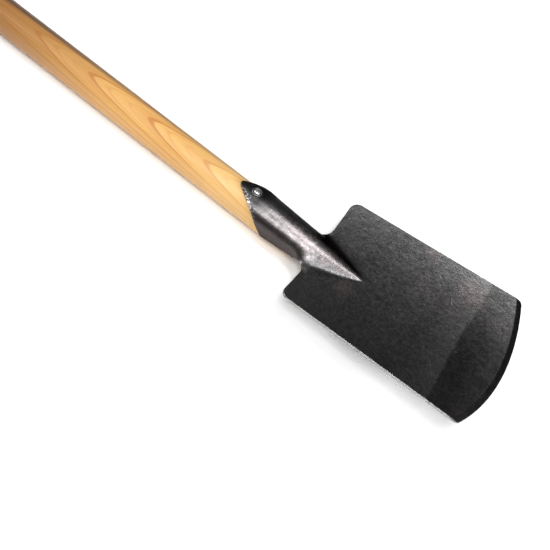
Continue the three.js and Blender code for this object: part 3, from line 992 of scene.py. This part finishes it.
def painted_crest_highlight(shader, base, x, y):
    """Painted highlight along the -Y side of the socket's crest and of the ridge, with hammered
    grain in it, and painted shade at their foot.
    """
    taper = shader.minus(1.0, shader.math("DIVIDE", x, RIDGE_LENGTH))
    taper = shader.math("MAXIMUM", taper, 0.0)
    foot = shader.product(RIDGE_FOOT, shader.math("POWER", taper, RIDGE_TAPER))
    half = shader.math("MINIMUM", shader.math("MAXIMUM", foot, 1.0), 21.0)
    ragged = shader.range(shader.noise(0.22, 3.0, 0.65, (9, 4, 2)), 0.3, 0.7, -0.22, 0.22)
    beside = shader.math("ADD", shader.math("DIVIDE", y, half), ragged)
    # crown: where the painted highlight lies
    crown = shader.product(
        shader.range(beside, -1.0, -0.25),
        shader.fall(beside, -0.1, 0.2),
        shader.range(x, -72.0, 8.0, 0.1, 0.52),
        shader.fall(x, 50.0, 60.0),
        shader.range(x, -12.0, 12.0, 1.0, 0.5),
    )
    hammered = shader.range(shader.noise(0.7, 3.0, 0.65, (6, 8, 1)), 0.35, 0.62, 0.4, 1.0)
    base = shader.mix(shader.product(crown, hammered), base, PAINTED_CREST_HIGHLIGHT)
    # low: painted shade where the highlight fades towards the -Y foot of the ridge
    low = shader.product(shader.fall(beside, -1.0, -0.35, 0.4), shader.range(beside, -1.3, -1.0))
    stretch = shader.product(shader.range(x, 2.0, 14.0), shader.fall(x, 48.0, 58.0))
    return shader.mix(shader.product(low, stretch), base, DARK_SCALE_AND_SHADE)


def near_patches(shader, x, y):
    """How strong the oxide patch at a place is, fading to 0 at each patch's edge."""
    patches = []
    for px, py, radius, strength in OXIDE_PATCHES:
        away = shader.distance(shader.minus(x, px), shader.minus(y, py))
        patches.append(shader.fall(away, 0.25 * radius, radius, strength))
    return shader.greatest(*patches)


def thin_oxide(shader, base, x, y):
    """Thin reddish oxide: faint everywhere, clearer in a few patches."""
    cloud = shader.range(shader.noise(0.021, 2.0, 0.5, (7.3, 3, 1)), 0.5, 0.7, 0.0, 0.22)
    grain = shader.range(shader.noise(0.3, 3.0, 0.6, (2, 9, 4)), 0.25, 0.55)
    patch = shader.greatest(cloud, near_patches(shader, x, y))
    return shader.mix(shader.product(patch, grain, 0.7), base, OXIDE)


def socket_tones(shader, base, x, y, reach):
    """Darker around the rivet, most on the crest and the +Y side, and brown scale on the sides of
    the socket.
    """
    tip = shader.product(
        shader.range(x, -58.0, -74.0, 0.0, 0.72),
        shader.range(y, -17.0, -8.0, 0.25, 1.0),
    )
    base = shader.mix(tip, base, DARK_SCALE_AND_SHADE)
    flank = shader.product(shader.range(reach, 10.0, 17.5), shader.fall(x, -12.0, 2.0, 0.75))
    return shader.mix(flank, base, BROWN_SCALE)


def painted_bevel_shade(shader, base, x, y):
    """Painted shade on the bevel, darker towards +Y."""
    rise = shader.product(shader.product(y, y), DISH_CURVE * math.sin(LIFT_ANGLE))
    station = shader.math("DIVIDE", shader.math("ADD", x, rise), math.cos(LIFT_ANGLE))
    square = shader.minus(EDGE_RADIUS ** 2, shader.product(y, y))
    edge = shader.math("ADD", shader.math("SQRT", square), BLADE_LENGTH + EDGE_BULGE - EDGE_RADIUS)
    to_edge = shader.minus(edge, station)
    bevel_shade = shader.product(
        shader.fall(to_edge, BEVEL_WIDTH - 0.4, BEVEL_WIDTH + 0.2),
        shader.range(y, -85.0, 45.0, 0.4, 0.85),
    )
    return shader.mix(bevel_shade, base, BEVEL_SHADE)


def scratch_marks(shader, x, y):
    marks = []
    for px, py, direction, length, width in SCRATCHES:
        c = math.cos(math.radians(direction))
        s = math.sin(math.radians(direction))
        dx = shader.minus(x, px)
        dy = shader.minus(y, py)
        along = shader.math("ADD", shader.product(dx, c), shader.product(dy, s))
        across = shader.minus(shader.product(dy, c), shader.product(dx, s))
        line = shader.fall(shader.math("ABSOLUTE", across), 0.2 * width, width)
        ends = shader.fall(shader.math("ABSOLUTE", along), 0.25 * length, 0.5 * length)
        marks.append(shader.product(line, ends))
    return shader.greatest(*marks)


def bare_metal_and_edge_highlight(shader, base, x, y, reach):
    """Lighter sides of the blade, partly rubbed steel and partly a painted highlight of the lit
    edge; specks hammered at the mouth of the socket; scratches.
    """
    flare = (EDGE_WIDTH - SHOULDER_WIDTH) / 2 / BLADE_LENGTH
    side = shader.minus(reach, SHOULDER_WIDTH / 2)
    side = shader.minus(side, shader.product(x, flare))
    # the sides of the blade: rubbed steel with a painted highlight of the lit edge
    rubbed_and_lit_edge = shader.product(
        shader.range(side, -1.0, 0.0),
        shader.range(x, 0.0, 8.0),
        shader.range(shader.noise(0.12, 3.0, 0.6, (8, 1, 1)), 0.25, 0.6, 0.65, 1.0),
    )
    mouth = shader.minus(x, -TONGUE_LENGTH)
    mouth = shader.minus(mouth, shader.product(reach, 1.35))
    peened = shader.product(
        shader.fall(mouth, 1.0, 9.0),
        shader.range(x, -50.0, -62.0),
        shader.range(shader.noise(0.5, 3.0, 0.6, (3, 3, 6)), 0.5, 0.62),
        shader.range(y, -7.5, -3.0, 1.0, 0.12),
    )
    scratched = scratch_marks(shader, x, y)
    bare = shader.greatest(
        shader.product(rubbed_and_lit_edge, 0.5),
        shader.product(peened, 0.8),
        shader.product(scratched, 0.5),
    )
    return shader.mix(bare, base, WORN_AND_EDGE_HIGHLIGHT)


def forged_steel():
    """Black forged and oiled steel: mottled scale, thin oxide in patches, pits, rubbed edges, with
    painted highlights along the crest and the blade's sides and painted shade in the ridge's
    corner, on the bevel and beyond a line across the blade.
    """
    shader = Shader("forged_steel")
    x, y, _ = shader.axes()
    reach = shader.math("ABSOLUTE", y)
    base = scale_mottle(shader)
    base = painted_line_reflection(shader, base, x, y)
    base = painted_ridge_corner_shade(shader, base, x, y)
    base = worn_treads(shader, base, x, reach)
    base = painted_crest_highlight(shader, base, x, y)
    base = thin_oxide(shader, base, x, y)
    base = socket_tones(shader, base, x, y, reach)
    base = painted_bevel_shade(shader, base, x, y)
    base = bare_metal_and_edge_highlight(shader, base, x, y, reach)
    rough = shader.range(shader.noise(0.3, 4.0, 0.6, (5, 5, 5)), 0.3, 0.7, 0.3, 0.4)
    pits = shader.range(shader.noise(0.42, 4.0, 0.6, (1, 2, 3)), 0.25, 0.75)
    normal = shader.bump(pits, 0.042)
    normal = shader.bump(shader.noise(0.14, 2.0, 0.5, (6, 2, 2)), 0.25, normal)
    shader.surface(Base_Color=base, Metallic=1.0, Roughness=rough, Normal=normal)
    return shader.surface(Specular_Tint=EDGE_TINT)


def worn_steel():
    """Bright steel of the rivet, washer and pin, darker in the groove around the dome."""
    shader = Shader("worn_steel")
    mottle = shader.range(shader.noise(0.9, 4.0, 0.6), 0.3, 0.7)
    base = shader.mix(mottle, STEEL_DULL, STEEL_BRIGHT)
    x, y, _ = shader.axes()
    away = shader.distance(shader.minus(x, RIVET_STATION), y)
    groove = shader.product(shader.range(away, 2.9, 3.3), shader.fall(away, 3.9, 4.5))
    base = shader.mix(shader.product(groove, 0.92), base, GROOVE_DARK)
    rim = shader.product(shader.range(away, 3.9, 4.3, 0.0, 0.8), shader.fall(away, 5.6, 6.0))
    base = shader.mix(rim, base, STEEL_RIM)
    rough = shader.range(shader.noise(1.3, 3.0, 0.5, (3, 1, 2)), 0.3, 0.7, 0.3, 0.5)
    normal = shader.bump(shader.noise(1.1, 3.0, 0.5, (4, 4, 4)), 0.07)
    return shader.surface(Base_Color=base, Metallic=1.0, Roughness=rough, Normal=normal)


# ---------- wood

def wood(name, colours, grain, ring_axis, ring_width, lean, start, pith):
    """Varnished wood with growth rings around a pith beside the piece, leaning across its length.

    grain is the number of the axis along the fibres, ring_axis the direction from the pith, lean
    the drift of the rings per millimetre along the grain, start a distance from the pith at which
    one ring lies, and pith how far the pith is. Returns the material, its colour and its shader.
    """
    shader = Shader(name)
    light, line, dark, broad_tone = colours
    axes = shader.axes()
    streak_scale = tuple(0.004 if i == grain else 0.9 for i in range(3))
    fibre_scale = tuple(0.03 if i == grain else 2.4 for i in range(3))
    wander_scale = tuple(0.006 if i == grain else 0.05 for i in range(3))
    from_pith = shader.math("ADD", shader.along(axes, ring_axis), pith)
    side = shader.along(axes, np.cross(np.eye(3)[grain], ring_axis))
    drift = shader.product(axes[grain], lean)
    wander = shader.range(shader.noise(wander_scale, 2.0), 0.0, 1.0, -0.9, 0.9)
    total = shader.chain("ADD", (shader.distance(from_pith, side), drift, wander))
    ring = shader.math("DIVIDE", shader.minus(total, start), ring_width)
    phase = shader.math("FRACT", ring)
    late = shader.greatest(
        shader.range(phase, 0.3, 0.95, 0.0, 0.4),
        shader.range(phase, 0.86, 0.96),
        shader.fall(phase, 0.0, 0.07),
        shader.range(shader.math("FRACT", shader.product(ring, 3.0)), 0.55, 1.0, 0.0, 0.4),
    )
    streak = shader.range(shader.noise(streak_scale, 3.0, 0.6), 0.35, 0.75)
    fibre = shader.range(shader.noise(fibre_scale, 2.0, 0.6, (3, 3, 3)), 0.45, 0.8)
    broad = shader.range(shader.noise(wander_scale, 2.0, 0.5, (9, 1, 5)), 0.3, 0.7)
    base = shader.mix(shader.product(broad, 0.4), light, broad_tone)
    base = shader.mix(shader.product(late, 0.8), base, line)
    base = shader.mix(shader.product(streak, 0.22), base, line)
    base = shader.mix(shader.product(fibre, 0.3), base, dark)
    rough = shader.math("ADD", shader.product(fibre, 0.1), 0.38)
    normal = shader.bump(shader.minus(1.0, fibre), 0.05)
    material = shader.surface(Base_Color=base, Roughness=rough, Normal=normal, IOR=1.48)
    return material, base, shader


ARCH_ANGLE = math.radians(-20)  # where the arches of the grain are centred on the shaft


def ash_shaft():
    """Ash, darker over the middle of the shaft than near the grip and the blade, with a painted
    highlight near the blade and painted shade along its +Y side.
    """
    direction = (0.0, math.sin(ARCH_ANGLE), math.cos(ARCH_ANGLE))
    pith = 90.0
    first_arch = -279
    lean = 0.058
    start = 18.4 + pith + lean * first_arch
    material, base, shader = wood("ash_shaft", ASH_SHAFT, 0, direction, 4.2, lean, start, pith)
    x, y, z = shader.axes()
    darker_middle = shader.product(shader.fall(x, -430, -215, 0.97), shader.range(x, -800, -470, 0.3, 1.0))
    vein = shader.range(shader.noise((0.005, 0.7, 0.7), 3.0, 0.6, (2, 5, 8)), 0.3, 0.7)
    base = shader.mix(darker_middle, base, shader.mix(vein, *DARKER_ASH_TONES))
    # painted highlight on the wood near the blade
    base = shader.mix(shader.range(x, -190, -95, 0.0, 0.35), base, PAINTED_ASH_HIGHLIGHT)
    # painted shade along the +Y side of the shaft, broken up by noise
    drift = shader.product(shader.math("ADD", x, 400.0), 0.018)
    beside = shader.minus(y, drift)
    shade_breaks = shader.noise((0.004, 0.25, 0.25), 3.0, 0.6, (7, 2, 1))
    painted_side_shade = shader.product(
        shader.range(beside, -1.0, 5.5),
        shader.range(x, -420, -120, 1.0, 0.7),
        shader.range(x, -590, -430),
        shader.range(z, -6.0, 8.0, 0.1, 1.0),
        shader.range(shade_breaks, 0.35, 0.7, 1.0, 0.6),
    )
    shader.surface(Base_Color=shader.mix(painted_side_shade, base, SHAFT_SIDE_SHADE))
    return material


def ash_grip():
    return wood("ash_grip", ASH_GRIP, 1, (0.5, 0.0, 0.866), 2.8, 0.05, 30.0, 38.0)[0]


def oak_wedge():
    return wood("oak_wedge", OAK, 0, (0.0, 0.0, 1.0), 1.6, 0.03, 20.0, 30.0)[0]


def pale_floor():
    shader = Shader("pale_floor")
    base = shader.mix(shader.noise(0.004, 2.0), *FLOOR_TONES)
    return shader.surface(Base_Color=base, Roughness=0.9)


# ---------- stage, in metres

CAMERA_PLACE = (0.3523, -0.5464, 0.6801)
CAMERA_TURN = (31.927, -19.640, 33.038)  # degrees
LENS = 55.64
SENSOR = 36.0
FLOOR_REACH = 4.0
WORLD_STRENGTH = 0.08

# Soft lamps, as (name, azimuth, elevation, distance, width, height, power) around their target.
LAMP_TARGET = (0.25, 0, 0)
LAMPS = (
    ("key", -90, 58, 1.7, 0.5, 0.65, 14.5),
    ("top", 0, 79, 1.7, 0.6, 0.5, 7.6),
    ("overhead", 90, 88, 1.7, 0.5, 0.5, 3.2),
    ("front", -35, 45, 1.7, 0.5, 0.5, 2.6),
    ("back", 135, 30, 2.2, 0.8, 0.6, 2.0),
    ("beyond_blade", 0, 20, 2.6, 1.4, 0.9, 62),
    ("beyond_grip", -170, 20, 2.6, 1.6, 0.9, 74),
)


def add_camera():
    data = bpy.data.cameras.new("camera")
    data.lens = LENS
    data.sensor_width = SENSOR
    data.clip_start = 0.01
    camera = add_object("camera", data)
    camera.location = CAMERA_PLACE
    camera.rotation_euler = Euler([math.radians(a) for a in CAMERA_TURN])
    bpy.context.scene.camera = camera


def add_softbox(name, azimuth, elevation, distance, width, height, power):
    """A rectangular lamp that faces the target from a direction in degrees."""
    data = bpy.data.lights.new(name, "AREA")
    data.shape = "RECTANGLE"
    data.size = width
    data.size_y = height
    data.energy = power
    lamp = add_object(name, data)
    a = math.radians(azimuth)
    e = math.radians(elevation)
    direction = Vector((math.cos(e) * math.cos(a), math.cos(e) * math.sin(a), math.sin(e)))
    lamp.location = Vector(LAMP_TARGET) + direction * distance
    lamp.rotation_euler = direction.to_track_quat("Z", "Y").to_euler()


def add_floor():
    r = FLOOR_REACH
    mesh = bpy.data.meshes.new("floor")
    mesh.from_pydata([(-r, -r, 0), (r, -r, 0), (r, r, 0), (-r, r, 0)], [], [(0, 1, 2, 3)])
    floor = add_object("floor", mesh)
    floor.data.materials.append(pale_floor())


def add_stage():
    scene = bpy.context.scene
    scene.view_settings.view_transform = "Standard"
    world = bpy.data.worlds.new("studio")
    world.use_nodes = True
    background = world.node_tree.nodes["Background"]
    background.inputs["Color"].default_value = (1, 1, 1, 1)
    background.inputs["Strength"].default_value = WORLD_STRENGTH
    scene.world = world
    add_floor()
    for lamp in LAMPS:
        add_softbox(*lamp)


# ---------- assembly

def main():
    steel = forged_steel()
    bare = worn_steel()
    finish_piece(build_head(), "blade_head", steel)
    finish_piece(build_shaft(), "shaft", ash_shaft())
    finish_piece(build_rivet(), "tongue_rivet", bare)
    finish_piece(build_washer(), "rivet_washer", bare)
    finish_piece(build_grip(), "grip_bar", ash_grip())
    finish_piece(build_wedge(), "grip_wedge", oak_wedge())
    finish_piece(build_pin(), "grip_pin", bare)
    add_camera()
    add_stage()


main()
